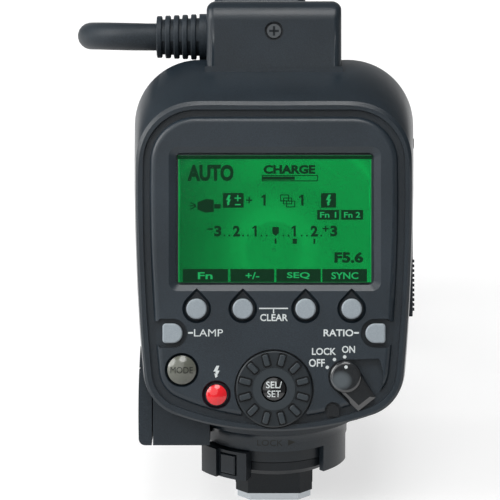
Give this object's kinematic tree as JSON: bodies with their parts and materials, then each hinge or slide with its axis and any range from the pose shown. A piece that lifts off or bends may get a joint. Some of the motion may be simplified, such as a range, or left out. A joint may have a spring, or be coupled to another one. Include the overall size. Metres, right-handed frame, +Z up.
{
  "type": "macro ring flash",
  "caption": "Hot-shoe control unit with a lit screen, buttons and a dial, joined by a short cord to a ring-shaped flash head for close-up lenses.",
  "frame": {"origin": "centre of the shoe plate's lower face", "axes": "+Z up, +Y towards the lens side, +X to the right as the user sees the panel"},
  "size_m": [0.0871, 0.2796, 0.1263],
  "materials": {
    "case_plastic": "fine moulded texture",
    "panel_plastic": "fine moulded texture",
    "soft_rubber": "satin",
    "screen_window": "polished",
    "screen_green": "lit",
    "dark_frame": "matt",
    "button_grey": "satin",
    "button_smoke": "translucent",
    "button_red": "translucent, lit",
    "dial_plastic": "satin",
    "switch_smoke": "smoky translucent",
    "steel": "satin",
    "black_steel": "black oxide",
    "gold": "plated",
    "board": "solder mask",
    "can": "sleeved",
    "core": "wound",
    "cell": "wrapped",
    "clear_prism": "prismatic",
    "mirror_foil": "polished",
    "tube_glass": "clear",
    "lamp_white": "phosphor"
  },
  "bodies": {
    "control_unit": {"battery_cells": "cell", "battery_contacts": "gold", "battery_holder": "dark_frame", "button_board": "board", "cable_cover": "case_plastic", "cable_cover_screw": "black_steel", "case_screws": "steel", "cord_gland": "soft_rubber", "dial_encoder": "dark_frame", "exposure_lamp": "switch_smoke", "flash_tube_left": "tube_glass", "flash_tube_right": "tube_glass", "focus_lamp_leds": "lamp_white", "focus_lamp_lenses": "clear_prism", "foot_base": "dark_frame", "foot_contacts": "gold", "foot_plate": "steel", "front_case": "case_plastic", "head_cord": "soft_rubber", "lcd_carrier": "dark_frame", "lcd_module": "screen_green", "lcd_window": "screen_window", "main_board": "board", "main_capacitor": "can", "power_socket": "dark_frame", "rear_cover": "panel_plastic", "ring_board": "board", "ring_diffuser_left": "clear_prism", "ring_diffuser_right": "clear_prism", "ring_front_case": "case_plastic", "ring_rear_case": "case_plastic", "ring_reflector_left": "mirror_foil", "ring_reflector_right": "mirror_foil", "ring_screws": "black_steel", "strain_relief": "soft_rubber", "transformer": "core"},
    "set_button": {"set_button": "switch_smoke"},
    "select_dial": {"select_dial": "dial_plastic"},
    "power_switch": {"power_switch": "switch_smoke"},
    "mode_button": {"mode_button": "button_smoke"},
    "pilot_button": {"pilot_button": "button_red"},
    "lamp_button": {"lamp_button": "button_grey"},
    "ratio_button": {"ratio_button": "button_grey"},
    "door_slider": {"door_carrier": "case_plastic", "door_hinge_pin": "steel"},
    "battery_door": {"battery_door": "case_plastic"},
    "socket_cap": {"socket_cap": "soft_rubber"},
    "lock_lever": {"lock_lever": "case_plastic"},
    "lock_release_button": {"lock_release_button": "case_plastic"},
    "lock_pin": {"lock_pin": "steel"},
    "ring_release_right": {"ring_release_right": "case_plastic"},
    "ring_release_left": {"ring_release_left": "case_plastic"},
    "function_button_1": {"function_button_1": "button_grey"},
    "function_button_2": {"function_button_2": "button_grey"},
    "function_button_3": {"function_button_3": "button_grey"},
    "function_button_4": {"function_button_4": "button_grey"}
  },
  "joints": [
    {"name": "function_button_1_press", "type": "slide", "parent": "control_unit", "child": "function_button_1", "axis": [0, 0.9659, -0.2588], "range_m": [0, 0.0006], "stiffness_N_per_m": 250},
    {"name": "function_button_2_press", "type": "slide", "parent": "control_unit", "child": "function_button_2", "axis": [0, 0.9659, -0.2588], "range_m": [0, 0.0006], "stiffness_N_per_m": 250},
    {"name": "function_button_3_press", "type": "slide", "parent": "control_unit", "child": "function_button_3", "axis": [0, 0.9659, -0.2588], "range_m": [0, 0.0006], "stiffness_N_per_m": 250},
    {"name": "function_button_4_press", "type": "slide", "parent": "control_unit", "child": "function_button_4", "axis": [0, 0.9659, -0.2588], "range_m": [0, 0.0006], "stiffness_N_per_m": 250},
    {"name": "lamp_button_press", "type": "slide", "parent": "control_unit", "child": "lamp_button", "axis": [0, 0.9659, -0.2588], "range_m": [0, 0.0006], "stiffness_N_per_m": 250},
    {"name": "ratio_button_press", "type": "slide", "parent": "control_unit", "child": "ratio_button", "axis": [0, 0.9659, -0.2588], "range_m": [0, 0.0006], "stiffness_N_per_m": 250},
    {"name": "mode_button_press", "type": "slide", "parent": "control_unit", "child": "mode_button", "axis": [0, 0.9659, -0.2588], "range_m": [0, 0.0006], "stiffness_N_per_m": 250},
    {"name": "pilot_button_press", "type": "slide", "parent": "control_unit", "child": "pilot_button", "axis": [0, 0.9659, -0.2588], "range_m": [0, 0.0006], "stiffness_N_per_m": 250},
    {"name": "set_button_press", "type": "slide", "parent": "control_unit", "child": "set_button", "axis": [0, 0.9659, -0.2588], "range_m": [0, 0.0006], "stiffness_N_per_m": 250},
    {"name": "select_dial_turn", "type": "hinge", "parent": "control_unit", "child": "select_dial", "pos_m": [0, -0.02553, 0.03476], "axis": [0, -0.9659, 0.2588], "continuous": true},
    {"name": "power_switch_turn", "type": "hinge", "parent": "control_unit", "child": "power_switch", "pos_m": [0.0175, -0.02475, 0.03766], "axis": [0, -0.9659, 0.2588], "range_deg": [0, 62]},
    {"name": "lock_lever_turn", "type": "hinge", "parent": "control_unit", "child": "lock_lever", "pos_m": [0, 0, 0.014], "axis": [0, 0, 1], "range_deg": [0, 60]},
    {"name": "lock_release_press", "type": "slide", "parent": "lock_lever", "child": "lock_release_button", "axis": [0.5664, 0.8241, 0], "range_m": [0, 0.0007], "stiffness_N_per_m": 250},
    {"name": "lock_pin_slide", "type": "slide", "parent": "control_unit", "child": "lock_pin", "axis": [0, 0, -1], "range_m": [0, 0.0016]},
    {"name": "battery_door_slide", "type": "slide", "parent": "control_unit", "child": "door_slider", "axis": [0, -0.2588, -0.9659], "range_m": [0, 0.003]},
    {"name": "battery_door_swing", "type": "hinge", "parent": "door_slider", "child": "battery_door", "pos_m": [0.03505, 0.03258, 0.08162], "axis": [0, -0.9659, 0.2588], "range_deg": [0, 100]},
    {"name": "socket_cap_swing", "type": "hinge", "parent": "control_unit", "child": "socket_cap", "pos_m": [-0.0337, -0.00021, 0.03264], "axis": [0, 0.9659, -0.2588], "range_deg": [0, 100]},
    {"name": "ring_release_right_press", "type": "slide", "parent": "control_unit", "child": "ring_release_right", "axis": [0, -1, 0], "range_m": [0, 0.0016], "stiffness_N_per_m": 250},
    {"name": "ring_release_left_press", "type": "slide", "parent": "control_unit", "child": "ring_release_left", "axis": [0, 1, 0], "range_m": [0, 0.0016], "stiffness_N_per_m": 250}
  ],
  "couplings": [
    {"joint": "lock_pin_slide", "follows": "lock_lever_turn", "m_per_rad": 0.0014}
  ]
}
